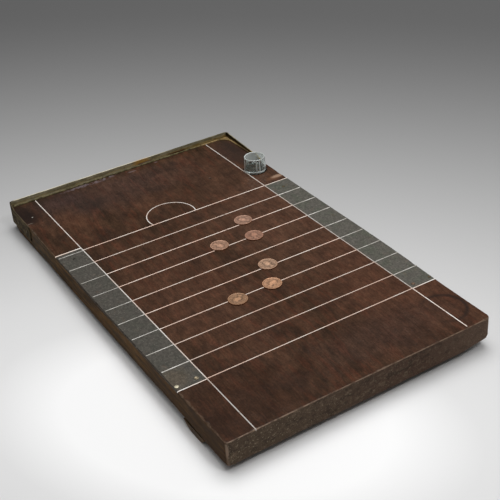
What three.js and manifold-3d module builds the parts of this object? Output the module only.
// A shove halfpenny board: a thick hardwood board with inlaid lines, a slate strip down each
// side, a bent brass curb round the far end with a bead along its foot, a cleat under the near
// end, six coins and a pot.
// Millimetres. +X is the player's right, +Y runs away from the player and +Z is up.
// The pieces are placed from the middle of the board's width, from the first line and from the
// playing surface. The exported group then stands on its origin, at the bottom centre.

import * as THREE from 'three';
import { mergeVertices } from 'three/addons/utils/BufferGeometryUtils.js';
import Module from 'manifold-3d';

const wasm = await Module();
wasm.setup();

// Board
const boardWidth = 371;
const boardThickness = 33;
const headLength = 179.4;
const footLength = 105.9;
const nearEndSkew = 3.6;
const farCornerRadius = 6;
const nearLeftCornerRadius = 4.5;
const nearRightCornerRadius = 8;
const arrisWear = 1;
const leftSideBow = 1.4;
const rightSideWear = 4.8;
const rightWearLength = 270;
const endBevelHeight = 10.8;
const endBevelLength = 24;

// Lines, let into the surface as thin stringing
const bedPitch = 38.1;
const leftMargin = 37.3;
const rightMargin = 40;
const lineWidth = 1.3;
const broadLineWidth = 2;
const lineDepth = 1.5;
const glueGap = 0.1;
const rightLineEndGap = 3;
const archRadius = 35.5;
const archRise = 10.3;
const archMiddleShare = 0.4855;
// Each line's drift from its true place, at its left and right end, in shares of the pitch
const lineDriftShares = [
  [-0.01, -0.01],
  [0, 0.01],
  [0, 0.01],
  [0, 0.03],
  [-0.02, -0.02],
  [0.02, 0],
  [0.01, 0],
  [0.01, 0],
  [0.02, 0],
  [-0.03, 0],
];

// Slate strips, with a shallow groove for each scoring line
const slateThickness = 2.5;
const cellGrooveWidth = 1.1;
const cellGrooveDepth = 0.4;
const cellGrooveEndGap = 1.8;
const leftFarLineBeyond = 6.5;
const leftFarWoodRidge = 0.9;
const leftNearLineBeyond = 2;
const rightFarLineBeyond = -0.7;
const rightNearLineBeyond = 0.4;
const leftCellDriftShares = [-0.04, -0.02, -0.02, 0, -0.02, 0.03, 0.03, 0.03, 0.02];
const rightCellDriftShares = [0.01, 0, 0.02, -0.03, 0, 0.01, 0.01, -0.01];

// Curb, one bent brass strip planted on the far end and on both sides
const curbThickness = 1.5;
const curbStand = 9.5;
const curbBendRadius = 4;
const leftArmLength = 75;
const rightArmLength = 110;
// The left arm's top edge: along the arm, then height above the surface, in shares of each
const leftArmFlatShare = 0.05;
const leftArmDropShare = 0.3;
const leftArmShelfShare = 0.57;
const leftArmShelfHeightShare = 0.19;
const leftArmTipHeightShare = 0.06;
const rightArmTipHeightShare = 0.21;

// Bead along the curb's foot, swept wide round the far right corner and on down the right arm
const beadWidth = 2.5;
const beadHeight = 1.8;
const beadEdgeRound = 0.9;
const beadSweepRadius = 18;
const beadArmShare = 0.94;

// Pins and screws
const pinClearance = 0.3;
const seatGap = 0.05;
const curbPin = { headRadius: 2, headHeight: 0.6, shankRadius: 0.9, shankLength: 12 };
const slatePin = { headRadius: 2.1, headHeight: 0.5, shankRadius: 0.9, shankLength: 12 };
const cornerNail = { headRadius: 1.3, headHeight: 0.3, shankRadius: 0.7, shankLength: 15 };
const pinSegments = 12;
const curbEndPinShares = [0.08, 0.36, 0.64, 0.92];
const curbArmPinShares = [0.4, 0.85];
// Where each strip's pins stand: in from its near and far ends, from the board's edge and from
// the strip's inner edge
const slatePinInsets = {
  left: { near: 7.6, far: 18.9, outer: 2.9, inner: 8.5 },
  right: { near: 6.9, far: 18.9, outer: 7, inner: 6.3 },
};
const cornerNailInset = 14.9;
const cornerNailFromEnd = 48.8;

// Cleat, screwed under the near end so that it hooks over a table's edge
const cleatWidth = 46;
const cleatDrop = 8;
const cleatFromLastLine = 8.7;
const cleatNearRoundWidth = 12;
const cleatNearRoundHeight = 6.8;
const cleatCornerSnip = 13.5;
const cleatEndSnip = 25;
const scribeWidth = 0.5;
const screwHeadRadius = 4;
const screwHeadHeight = 3;
const screwShankRadius = 2;
const screwSlotWidth = 1.1;
const screwSlotDepth = 1.2;
const screwRecess = 0.5;
const screwBiteShare = 0.6;
const screwSegments = 20;
const screwPlaceShares = [0.09, 0.37, 0.63, 0.91];

// Coins, each placed across the bed and down the beds
const coinRadius = 12.7;
const coinThickness = 1.5;
const coinRimWidth = 1;
const coinRimHeight = 0.15;
const coinEdgeRound = 0.2;
const coinSegments = 36;
const coinPlaceShares = [
  [0.731, 1.81],
  [0.698, 2.99],
  [0.524, 2.82],
  [0.615, 4.91],
  [0.548, 6.0],
  [0.368, 6.09],
];

// Glass pot that holds the coins, a little narrower at its rim than at its foot
const potRadius = 16.8;
const potRimRadius = 15.8;
const potHeight = 22.3;
const potWall = 2;
const potBase = 3;
const potFootWidth = 1.6;
const potFootHeight = 0.4;
const potEdgeRound = 0.5;
const potSegments = 48;
const potAcrossShare = 0.4175;
const potBeyondShare = 0.294;

const cutOverrun = 5;
const curveSegments = 8;

// Places that follow from the sizes
const leftEdge = -boardWidth / 2;
const rightEdge = boardWidth / 2;
const lastLine = -bedPitch * (lineDriftShares.length - 1);
const farEnd = headLength;
const nearLeftEnd = lastLine - footLength;
const nearRightEnd = nearLeftEnd + nearEndSkew;
const underside = -boardThickness;
const leftLine = leftEdge + leftMargin;
const rightLine = rightEdge - rightMargin;
const courtWidth = rightLine - leftLine;
const curbGap = glueGap;
const curbFoot = underside + endBevelHeight;
const curbOuter = curbGap + curbThickness;
const cleatFarFace = lastLine - cleatFromLastLine;
const cleatNearFace = cleatFarFace - cleatWidth;

const wood = new THREE.MeshStandardMaterial({ color: 0x46322a, roughness: 0.45 });
const cleatWood = new THREE.MeshStandardMaterial({ color: 0x3a2c20, roughness: 0.7 });
const stringing = new THREE.MeshStandardMaterial({ color: 0xd7c8be, roughness: 0.6 });
const slate = new THREE.MeshStandardMaterial({ color: 0x514d48, roughness: 0.6 });
const brass = new THREE.MeshStandardMaterial({ color: 0x8a7434, roughness: 0.5, metalness: 1 });
const steel = new THREE.MeshStandardMaterial({ color: 0x8c8a84, roughness: 0.5, metalness: 1 });
const bronze = new THREE.MeshStandardMaterial({ color: 0xa8745a, roughness: 0.4, metalness: 1 });
const glass = new THREE.MeshStandardMaterial({ color: 0xdfe6e4, roughness: 0.05 });

const game = new THREE.Group();

function addPiece(name, geometry, material) {
  const mesh = new THREE.Mesh(geometry, material);
  mesh.name = name;
  game.add(mesh);
  return mesh;
}

// A closed geometry as a solid that can be cut, without the slivers that meet at a point
function solidOf(geometry) {
  const bare = geometry.clone();
  bare.deleteAttribute('normal');
  bare.deleteAttribute('uv');
  const merged = mergeVertices(bare);
  const corners = merged.index.array;
  const triVerts = [];
  for (let i = 0; i < corners.length; i += 3) {
    const [a, b, c] = [corners[i], corners[i + 1], corners[i + 2]];
    if (a !== b && b !== c && c !== a) {
      triVerts.push(a, b, c);
    }
  }
  const mesh = new wasm.Mesh({
    numProp: 3,
    vertProperties: new Float32Array(merged.attributes.position.array),
    triVerts: new Uint32Array(triVerts),
  });
  return new wasm.Manifold(mesh);
}

function geometryOf(solid) {
  const mesh = solid.getMesh();
  const geometry = new THREE.BufferGeometry();
  geometry.setAttribute('position', new THREE.BufferAttribute(mesh.vertProperties, 3));
  geometry.setIndex(new THREE.BufferAttribute(mesh.triVerts, 1));
  return geometry;
}

function cutAll(solid, cutters) {
  return cutters.reduce((rest, cutter) => rest.subtract(cutter), solid);
}

// A box between two corners
function block(low, high) {
  const geometry = new THREE.BoxGeometry(high[0] - low[0], high[1] - low[1], high[2] - low[2]);
  return geometry.translate(
    (low[0] + high[0]) / 2,
    (low[1] + high[1]) / 2,
    (low[2] + high[2]) / 2,
  );
}

// A bar of square section from one point of the surface to another
function bar(from, to, width, bottom, top) {
  const along = to.clone().sub(from);
  const geometry = new THREE.BoxGeometry(along.length(), width, top - bottom);
  geometry.rotateZ(along.angle());
  return geometry.translate((from.x + to.x) / 2, (from.y + to.y) / 2, (bottom + top) / 2);
}

function cylinderUp(radius, bottom, top, segments) {
  const geometry = new THREE.CylinderGeometry(radius, radius, top - bottom, segments);
  geometry.rotateX(Math.PI / 2);
  return geometry.translate(0, 0, (bottom + top) / 2);
}

function nearEndAt(x) {
  return nearLeftEnd + (nearEndSkew * (x - leftEdge)) / boardWidth;
}

// The board seen from above: a bowed left side, a worn right side and a skewed near end
function boardOutline() {
  const wornEdge = rightEdge - rightSideWear;
  const wearStart = nearRightEnd + rightWearLength;
  const wearEnd = nearRightEnd + nearRightCornerRadius;
  const wearMiddle = (wearStart + wearEnd) / 2;
  const bowStart = farEnd - leftArmLength - cutOverrun;
  const bowEnd = nearLeftEnd + nearLeftCornerRadius;
  const shape = new THREE.Shape();
  shape.moveTo(leftEdge + farCornerRadius, farEnd);
  shape.lineTo(rightEdge - farCornerRadius, farEnd);
  shape.quadraticCurveTo(rightEdge, farEnd, rightEdge, farEnd - farCornerRadius);
  shape.lineTo(rightEdge, wearStart);
  shape.bezierCurveTo(rightEdge, wearMiddle, wornEdge, wearMiddle, wornEdge, wearEnd);
  const nearRightStart = wornEdge - nearRightCornerRadius;
  shape.quadraticCurveTo(wornEdge, nearEndAt(wornEdge), nearRightStart, nearEndAt(nearRightStart));
  const nearLeftStart = leftEdge + nearLeftCornerRadius;
  shape.lineTo(nearLeftStart, nearEndAt(nearLeftStart));
  shape.quadraticCurveTo(leftEdge, nearLeftEnd, leftEdge, bowEnd);
  shape.quadraticCurveTo(leftEdge - 2 * leftSideBow, (bowStart + bowEnd) / 2, leftEdge, bowStart);
  shape.lineTo(leftEdge, farEnd - farCornerRadius);
  shape.quadraticCurveTo(leftEdge, farEnd, leftEdge + farCornerRadius, farEnd);
  return shape;
}

// The board before anything is let into it, its arrises worn
function boardBlank() {
  const geometry = new THREE.ExtrudeGeometry(boardOutline(), {
    depth: boardThickness - 2 * arrisWear,
    bevelThickness: arrisWear,
    bevelSize: arrisWear,
    bevelOffset: -arrisWear,
    bevelSegments: 2,
    curveSegments,
  });
  return solidOf(geometry.translate(0, 0, underside + arrisWear));
}

// The board's outline run straight down past the cleat
function outlineColumn() {
  const geometry = new THREE.ExtrudeGeometry(boardOutline(), {
    depth: cleatDrop + 2 * cutOverrun,
    bevelEnabled: false,
    curveSegments,
  });
  return solidOf(geometry.translate(0, 0, underside - cleatDrop - cutOverrun));
}

const blank = boardBlank();
const boardCutters = [];

// A line of stringing and the groove that it is glued into
function addLine(name, from, to, width, trimToBoard = false) {
  const along = to.clone().sub(from).normalize().multiplyScalar(glueGap);
  const grooveFrom = from.clone().sub(along);
  const grooveTo = to.clone().add(along);
  const grooveWidth = width + 2 * glueGap;
  const grooveFloor = -lineDepth - glueGap;
  boardCutters.push(solidOf(bar(grooveFrom, grooveTo, grooveWidth, grooveFloor, cutOverrun)));
  if (trimToBoard) {
    const raw = solidOf(bar(from, to, width, -lineDepth, cutOverrun));
    addPiece(name, geometryOf(raw.intersect(blank)), stringing);
  } else {
    addPiece(name, bar(from, to, width, -lineDepth, 0), stringing);
  }
}

function addBedLines() {
  const leftStart = leftLine + lineWidth / 2 + glueGap;
  const rightStart = rightLine - lineWidth / 2 - glueGap;
  lineDriftShares.forEach(([leftShare, rightShare], i) => {
    const from = new THREE.Vector2(leftStart, bedPitch * (leftShare - i));
    const to = new THREE.Vector2(rightStart, bedPitch * (rightShare - i));
    addLine(`bed_line_${i + 1}`, from, to, lineWidth);
  });
}

function addSideLines() {
  const beyond = farEnd + cutOverrun;
  const leftFar = new THREE.Vector2(leftLine, beyond);
  const leftNear = new THREE.Vector2(leftLine, nearLeftEnd - cutOverrun);
  addLine('left_side_line', leftFar, leftNear, lineWidth, true);
  const rightFar = new THREE.Vector2(rightLine, beyond);
  const rightNear = new THREE.Vector2(rightLine, nearEndAt(rightLine) + rightLineEndGap);
  addLine('right_side_line', rightFar, rightNear, lineWidth, true);
}

// The four lines across the margins, beyond the ends of the slates
function addMarginLines() {
  const leftStart = leftLine - lineWidth / 2 - glueGap;
  const rightStart = rightLine + lineWidth / 2 + glueGap;
  const leftOut = leftEdge - leftSideBow - cutOverrun;
  const rightOut = rightEdge + cutOverrun;
  const lines = [
    ['left_far_margin_line', leftStart, leftOut, leftFarLineBeyond, broadLineWidth],
    ['left_near_margin_line', leftStart, leftOut, lastLine - leftNearLineBeyond, lineWidth],
    ['right_far_margin_line', rightStart, rightOut, rightFarLineBeyond, lineWidth],
    ['right_near_margin_line', rightStart, rightOut, lastLine - rightNearLineBeyond, lineWidth],
  ];
  lines.forEach(([name, start, out, y, width]) => {
    addLine(name, new THREE.Vector2(start, y), new THREE.Vector2(out, y), width, true);
  });
}

// The arch that springs from the first line, a little more than half a circle
function archSolid(halfWidth, bottom, top, endGap) {
  const middle = leftLine + courtWidth * archMiddleShare;
  const outer = archRadius + halfWidth;
  const inner = archRadius - halfWidth;
  const firstLineTop = lineWidth / 2 - bedPitch * Math.abs(lineDriftShares[0][0]);
  const below = Math.asin((archRise - firstLineTop - endGap) / outer);
  const shape = new THREE.Shape();
  shape.absarc(middle, archRise, outer, -below, Math.PI + below, false);
  shape.absarc(middle, archRise, inner, Math.PI + below, -below, true);
  const geometry = new THREE.ExtrudeGeometry(shape, {
    depth: top - bottom,
    bevelEnabled: false,
    curveSegments: 4 * curveSegments,
  });
  return geometry.translate(0, 0, bottom);
}

function addArch() {
  addPiece('arch_line', archSolid(lineWidth / 2, -lineDepth, 0, glueGap), stringing);
  const grooveHalf = lineWidth / 2 + glueGap;
  boardCutters.push(solidOf(archSolid(grooveHalf, -lineDepth - glueGap, cutOverrun, 0)));
}

// A round pin along +Y, its head standing on the plane Y = 0
function pinGeometry(pin) {
  const profile = [
    new THREE.Vector2(0, -pin.shankLength),
    new THREE.Vector2(pin.shankRadius, pin.shankRadius - pin.shankLength),
    new THREE.Vector2(pin.shankRadius, 0),
    new THREE.Vector2(pin.headRadius, 0),
    new THREE.Vector2(pin.headRadius, pin.headHeight / 2),
    new THREE.Vector2(pin.headRadius / 2, pin.headHeight),
    new THREE.Vector2(0, pin.headHeight),
  ];
  return new THREE.LatheGeometry(profile, pinSegments);
}

function pinHole(pin, overrun) {
  const radius = pin.shankRadius + pinClearance;
  const length = pin.shankLength + pinClearance;
  const geometry = new THREE.CylinderGeometry(radius, radius, length + overrun, pinSegments);
  return geometry.translate(0, (overrun - length) / 2, 0);
}

// Turns a pin along +Y to point up, left or right
const turnUp = (geometry) => geometry.rotateX(Math.PI / 2);
const turnLeft = (geometry) => geometry.rotateZ(Math.PI / 2);
const turnRight = (geometry) => geometry.rotateZ(-Math.PI / 2);
const turnNone = (geometry) => geometry;

// A pin with its head just clear of the face at a point, and the hole that takes its shank
function addPin(name, pin, turn, point, outward, material) {
  const seated = outward.clone().multiplyScalar(seatGap).add(point);
  addPiece(name, turn(pinGeometry(pin)).translate(seated.x, seated.y, seated.z), material);
  return solidOf(turn(pinHole(pin, seatGap)).translate(point.x, point.y, point.z));
}

// The slate strip of one side, which fills its rebate out to the board's edge
function addSlate(side, inner, outer, far, near, cellLines) {
  const [low, high] = [Math.min(inner, outer), Math.max(inner, outer)];
  const [rebateLow, rebateHigh] = side === 'left'
    ? [low, high + glueGap]
    : [low - glueGap, high];
  boardCutters.push(solidOf(block(
    [rebateLow, near - glueGap, -slateThickness - glueGap],
    [rebateHigh, far + glueGap, cutOverrun],
  )));
  let strip = solidOf(block([low, near, -slateThickness], [high, far, cutOverrun]));
  strip = strip.intersect(blank);
  const boardEdge = side === 'left' ? leftEdge : rightEdge;
  const inward = side === 'left' ? 1 : -1;
  const grooves = cellLines.map((y) => {
    const outerEnd = boardEdge + inward * cellGrooveEndGap;
    const innerEnd = inner + inward * cutOverrun;
    return solidOf(block(
      [Math.min(outerEnd, innerEnd), y - cellGrooveWidth / 2, -cellGrooveDepth],
      [Math.max(outerEnd, innerEnd), y + cellGrooveWidth / 2, cutOverrun],
    ));
  });
  const insets = slatePinInsets[side];
  const places = [
    [boardEdge + inward * insets.outer, near + insets.near],
    [inner - inward * insets.inner, near + insets.near],
    [(boardEdge + inner) / 2, far - insets.far],
  ];
  const up = new THREE.Vector3(0, 0, 1);
  const holes = places.map(([x, y], i) => {
    const point = new THREE.Vector3(x, y, 0);
    return addPin(`${side}_slate_pin_${i + 1}`, slatePin, turnUp, point, up, brass);
  });
  boardCutters.push(...holes);
  addPiece(`${side}_slate_strip`, geometryOf(cutAll(strip, [...grooves, ...holes])), slate);
}

function addSlates() {
  const toLine = lineWidth / 2 + glueGap;
  const leftCells = leftCellDriftShares.map((share, i) => bedPitch * (share - i));
  const rightCells = rightCellDriftShares.map((share, i) => bedPitch * (share - i - 1));
  const leftFar = leftFarLineBeyond - broadLineWidth / 2 - 2 * glueGap - leftFarWoodRidge;
  const leftNear = lastLine - leftNearLineBeyond + toLine;
  const rightFar = rightFarLineBeyond - toLine;
  const rightNear = lastLine - rightNearLineBeyond + toLine;
  const leftOut = leftEdge - leftSideBow - cutOverrun;
  const rightOut = rightEdge + cutOverrun;
  addSlate('left', leftLine - toLine, leftOut, leftFar, leftNear, leftCells);
  addSlate('right', rightLine + toLine, rightOut, rightFar, rightNear, rightCells);
}

// The curb seen from above: a strip bent round both far corners
function curbOutline() {
  const inner = boardWidth / 2 + curbGap;
  const outer = boardWidth / 2 + curbOuter;
  const bendX = inner - curbBendRadius;
  const bendY = farEnd + curbGap - curbBendRadius;
  const outerBend = curbBendRadius + curbThickness;
  const shape = new THREE.Shape();
  shape.moveTo(-inner, farEnd - leftArmLength);
  shape.absarc(-bendX, bendY, curbBendRadius, Math.PI, Math.PI / 2, true);
  shape.absarc(bendX, bendY, curbBendRadius, Math.PI / 2, 0, true);
  shape.lineTo(inner, farEnd - rightArmLength);
  shape.lineTo(outer, farEnd - rightArmLength);
  shape.absarc(bendX, bendY, outerBend, 0, Math.PI / 2, false);
  shape.absarc(-bendX, bendY, outerBend, Math.PI / 2, Math.PI, false);
  shape.lineTo(-outer, farEnd - leftArmLength);
  return shape;
}

// What is filed away above an arm's top edge, drawn as distance down the arm against height
function armCutter(side, profile) {
  const geometry = new THREE.ExtrudeGeometry(profile, {
    depth: curbOuter + cutOverrun,
    bevelEnabled: false,
    curveSegments: 2 * curveSegments,
  });
  const inside = boardWidth / 2 - cutOverrun / 2;
  geometry.rotateX(Math.PI / 2).rotateZ(-Math.PI / 2);
  geometry.translate(side === 'left' ? -inside : inside + curbOuter + cutOverrun, farEnd, 0);
  return solidOf(geometry);
}

function leftArmProfile() {
  const shape = new THREE.Shape();
  const drop = leftArmLength * leftArmDropShare;
  const flat = leftArmLength * leftArmFlatShare;
  const shelf = curbStand * leftArmShelfHeightShare;
  const halfway = (flat + drop) / 2;
  shape.moveTo(flat, curbStand);
  shape.bezierCurveTo(halfway, curbStand, halfway, shelf, drop, shelf);
  shape.lineTo(leftArmLength * leftArmShelfShare, shelf);
  shape.lineTo(leftArmLength, curbStand * leftArmTipHeightShare);
  shape.lineTo(leftArmLength + cutOverrun, curbStand * leftArmTipHeightShare);
  shape.lineTo(leftArmLength + cutOverrun, curbStand + cutOverrun);
  shape.lineTo(flat, curbStand + cutOverrun);
  return shape;
}

function rightArmProfile() {
  const shape = new THREE.Shape();
  const tip = curbStand * rightArmTipHeightShare;
  shape.moveTo(curbBendRadius, curbStand);
  shape.lineTo(rightArmLength, tip);
  shape.lineTo(rightArmLength + cutOverrun, tip);
  shape.lineTo(rightArmLength + cutOverrun, curbStand + cutOverrun);
  shape.lineTo(curbBendRadius, curbStand + cutOverrun);
  return shape;
}

function curbPinHoles() {
  const middle = curbFoot / 2;
  const far = new THREE.Vector3(0, 1, 0);
  const left = new THREE.Vector3(-1, 0, 0);
  const right = new THREE.Vector3(1, 0, 0);
  const outerX = boardWidth / 2 + curbOuter;
  const endHoles = curbEndPinShares.map((share, i) => {
    const point = new THREE.Vector3(leftEdge + boardWidth * share, farEnd + curbOuter, middle);
    return addPin(`curb_end_pin_${i + 1}`, curbPin, turnNone, point, far, brass);
  });
  const leftHoles = curbArmPinShares.map((share, i) => {
    const point = new THREE.Vector3(-outerX, farEnd - leftArmLength * share, middle);
    return addPin(`curb_left_pin_${i + 1}`, curbPin, turnLeft, point, left, brass);
  });
  const rightHoles = curbArmPinShares.map((share, i) => {
    const point = new THREE.Vector3(outerX, farEnd - rightArmLength * share, middle);
    return addPin(`curb_right_pin_${i + 1}`, curbPin, turnRight, point, right, brass);
  });
  return [...endHoles, ...leftHoles, ...rightHoles];
}

function addCurb() {
  const strip = new THREE.ExtrudeGeometry(curbOutline(), {
    depth: curbStand - curbFoot,
    bevelEnabled: false,
    curveSegments: curveSegments / 2,
  });
  const holes = curbPinHoles();
  const arms = [armCutter('left', leftArmProfile()), armCutter('right', rightArmProfile())];
  const curb = cutAll(solidOf(strip.translate(0, 0, curbFoot)), [...arms, ...holes]);
  addPiece('end_curb', geometryOf(curb), brass);
  boardCutters.push(...holes);
}

// The bead seen from above, its back against the curb from the left bend to the right arm
function beadOutline() {
  const back = boardWidth / 2 + curbGap - glueGap;
  const bendX = boardWidth / 2 + curbGap - curbBendRadius;
  const bendY = farEnd + curbGap - curbBendRadius;
  const bendRadius = curbBendRadius - glueGap;
  const front = farEnd + curbGap - glueGap - beadWidth;
  const rightFront = back - beadWidth;
  const shape = new THREE.Shape();
  shape.moveTo(-bendX, front);
  shape.lineTo(-bendX, bendY + bendRadius);
  shape.absarc(bendX, bendY, bendRadius, Math.PI / 2, 0, true);
  shape.lineTo(back, farEnd - rightArmLength * beadArmShare);
  shape.lineTo(rightFront, farEnd - rightArmLength * beadArmShare);
  const sweep = beadSweepRadius;
  shape.absarc(rightFront - sweep, front - sweep, sweep, 0, Math.PI / 2, false);
  return shape;
}

// The bead is the upper half of a bar with rounded edges
function addBead() {
  const flat = beadHeight - beadEdgeRound;
  const bead = new THREE.ExtrudeGeometry(beadOutline(), {
    depth: 2 * flat,
    bevelThickness: beadEdgeRound,
    bevelSize: beadEdgeRound,
    bevelOffset: -beadEdgeRound,
    bevelSegments: 2,
    curveSegments,
  });
  const lowerHalf = block(
    [leftEdge - cutOverrun, farEnd - rightArmLength - cutOverrun, -beadHeight - cutOverrun],
    [rightEdge + cutOverrun, farEnd + cutOverrun, seatGap],
  );
  const solid = solidOf(bead.translate(0, 0, -flat)).subtract(solidOf(lowerHalf));
  addPiece('curb_foot_bead', geometryOf(solid), brass);
}

// A nail left in the far left corner of the surface
function addCornerNail() {
  const point = new THREE.Vector3(leftEdge + cornerNailInset, farEnd - cornerNailFromEnd, 0);
  const up = new THREE.Vector3(0, 0, 1);
  boardCutters.push(addPin('corner_nail', cornerNail, turnUp, point, up, steel));
}

// The cleat's section, Y across and Z up, round at its near lower corner
function cleatSection() {
  const foot = underside - cleatDrop;
  const roundStart = cleatNearFace + cleatNearRoundWidth;
  const roundTop = foot + cleatNearRoundHeight;
  const shape = new THREE.Shape();
  shape.moveTo(cleatFarFace, underside);
  shape.lineTo(cleatNearFace, underside);
  shape.lineTo(cleatNearFace, roundTop);
  shape.quadraticCurveTo(cleatNearFace + cleatNearRoundWidth / 3, foot, roundStart, foot);
  shape.lineTo(cleatFarFace, foot);
  return shape;
}

// The wedge that takes off a far lower corner of the cleat at the board's left or right edge
function cornerSnip(edge, inward) {
  const foot = underside - cleatDrop;
  const out = edge - inward * cutOverrun;
  const slopeX = cutOverrun / cleatEndSnip;
  const reachY = cleatCornerSnip * (1 + slopeX);
  const reachZ = cleatDrop * (1 + slopeX);
  const corner = new THREE.Vector3(out, cleatFarFace, foot);
  const points = [
    corner,
    new THREE.Vector3(edge + inward * cleatEndSnip, cleatFarFace, foot),
    new THREE.Vector3(out, cleatFarFace - reachY, foot),
    new THREE.Vector3(out, cleatFarFace, foot + reachZ),
  ];
  const leftFaces = [0, 1, 2, 0, 3, 1, 0, 2, 3, 1, 3, 2];
  const rightFaces = [0, 2, 1, 0, 1, 3, 0, 3, 2, 1, 2, 3];
  const faces = inward > 0 ? leftFaces : rightFaces;
  const geometry = new THREE.BufferGeometry().setFromPoints(points);
  geometry.setIndex(faces);
  return solidOf(geometry);
}

// A slotted countersunk screw, its head down and its tip up inside the board
function screwSolid(clearance) {
  const foot = underside - cleatDrop + screwRecess;
  const tip = underside + boardThickness * screwBiteShare;
  const head = screwHeadRadius + clearance;
  const shank = screwShankRadius + clearance;
  const top = tip + clearance;
  const profile = [
    new THREE.Vector2(0, clearance > 0 ? foot - screwRecess - cutOverrun : foot),
    new THREE.Vector2(head, clearance > 0 ? foot - screwRecess - cutOverrun : foot),
    new THREE.Vector2(head, foot + screwRecess / 2),
    new THREE.Vector2(shank, foot + screwHeadHeight + clearance / 2),
    new THREE.Vector2(shank, top - shank),
    new THREE.Vector2(0, top),
  ];
  const solid = solidOf(new THREE.LatheGeometry(profile, screwSegments).rotateX(Math.PI / 2));
  if (clearance > 0) {
    return solid;
  }
  const slot = block(
    [-head - cutOverrun, -screwSlotWidth / 2, foot - cutOverrun],
    [head + cutOverrun, screwSlotWidth / 2, foot + screwSlotDepth],
  );
  return solid.subtract(solidOf(slot));
}

function addCleat() {
  const length = boardWidth + 2 * leftSideBow + 2 * cutOverrun;
  const cleatBar = new THREE.ExtrudeGeometry(cleatSection(), {
    depth: length,
    bevelEnabled: false,
    curveSegments,
  });
  cleatBar.rotateX(Math.PI / 2).rotateZ(Math.PI / 2).translate(-length / 2, 0, 0);
  const between = (cleatFarFace + cleatNearFace + cleatNearRoundWidth) / 2;
  const holes = screwPlaceShares.map((share, i) => {
    const x = leftEdge + boardWidth * share;
    const screw = geometryOf(screwSolid(0)).rotateZ(Math.PI * share);
    addPiece(`cleat_screw_${i + 1}`, screw.translate(x, between, 0), steel);
    return geometryOf(screwSolid(pinClearance)).translate(x, between, 0);
  }).map(solidOf);
  const snips = [cornerSnip(leftEdge, 1), cornerSnip(rightEdge - rightSideWear, -1)];
  const cleat = solidOf(cleatBar).intersect(outlineColumn());
  addPiece('table_cleat', geometryOf(cutAll(cleat, [...snips, ...holes])), cleatWood);
  boardCutters.push(...holes);
}

// The line scribed under the board to set the cleat to
function scribedLine() {
  return solidOf(block(
    [leftEdge - cutOverrun, cleatFarFace, underside - cutOverrun],
    [rightEdge + cutOverrun, cleatFarFace + scribeWidth, underside + scribeWidth],
  ));
}

// The long bevel under the far end
function endBevel() {
  const shape = new THREE.Shape();
  const slope = endBevelHeight / endBevelLength;
  shape.moveTo(farEnd - endBevelLength, underside);
  shape.lineTo(farEnd + cutOverrun, curbFoot + cutOverrun * slope);
  shape.lineTo(farEnd + cutOverrun, underside - cutOverrun);
  shape.lineTo(farEnd - endBevelLength, underside - cutOverrun);
  const length = boardWidth + 2 * cutOverrun;
  const geometry = new THREE.ExtrudeGeometry(shape, { depth: length, bevelEnabled: false });
  geometry.rotateX(Math.PI / 2).rotateZ(Math.PI / 2).translate(-length / 2, 0, 0);
  return solidOf(geometry);
}

// A struck coin: flat fields inside a raised rim on both faces
function coinGeometry() {
  const field = coinRimHeight;
  const rim = coinRadius - coinRimWidth;
  const lower = [
    new THREE.Vector2(0, field),
    new THREE.Vector2(rim - coinEdgeRound, field),
    new THREE.Vector2(rim, 0),
    new THREE.Vector2(coinRadius - coinEdgeRound, 0),
    new THREE.Vector2(coinRadius, coinEdgeRound),
  ];
  const upper = lower.map((point) => new THREE.Vector2(point.x, coinThickness - point.y));
  const geometry = new THREE.LatheGeometry([...lower, ...upper.reverse()], coinSegments);
  return geometry.rotateX(Math.PI / 2);
}

function addCoins() {
  coinPlaceShares.forEach(([across, beds], i) => {
    const coin = addPiece(`coin_${i + 1}`, coinGeometry(), bronze);
    coin.position.set(leftLine + courtWidth * across, -bedPitch * beds, seatGap);
  });
}

// A glass pot with a slight taper, a thick base and a low foot ring
function addPot() {
  const inside = potRadius - potWall;
  const insideRim = potRimRadius - potWall;
  const foot = potRadius - potFootWidth;
  const profile = [
    new THREE.Vector2(0, potFootHeight),
    new THREE.Vector2(foot - potEdgeRound, potFootHeight),
    new THREE.Vector2(foot, 0),
    new THREE.Vector2(potRadius - potEdgeRound, 0),
    new THREE.Vector2(potRadius, potEdgeRound),
    new THREE.Vector2(potRimRadius, potHeight - potEdgeRound),
    new THREE.Vector2(potRimRadius - potEdgeRound, potHeight),
    new THREE.Vector2(insideRim + potEdgeRound, potHeight),
    new THREE.Vector2(insideRim, potHeight - potEdgeRound),
    new THREE.Vector2(inside, potBase + potEdgeRound),
    new THREE.Vector2(inside - potEdgeRound, potBase),
    new THREE.Vector2(0, potBase),
  ];
  const geometry = new THREE.LatheGeometry(profile, potSegments).rotateX(Math.PI / 2);
  const pot = addPiece('glass_pot', geometry, glass);
  pot.position.set(rightLine + rightMargin * potAcrossShare, headLength * potBeyondShare, seatGap);
}

addBedLines();
addSideLines();
addMarginLines();
addArch();
addSlates();
addCurb();
addBead();
addCornerNail();
addCleat();
boardCutters.push(scribedLine(), endBevel());
addPiece('board', geometryOf(cutAll(blank, boardCutters)), wood);
addCoins();
addPot();

// The near left corner is rounded, so the board's true reach is read from its outline
const reach = new THREE.Box2().setFromPoints(boardOutline().getPoints(curveSegments));
const farReach = farEnd + curbOuter + seatGap + curbPin.headHeight;
game.position.set(0, -(reach.min.y + farReach) / 2, boardThickness + cleatDrop);

const shoveHalfpennyBoard = new THREE.Group();
shoveHalfpennyBoard.add(game);

export default shoveHalfpennyBoard;
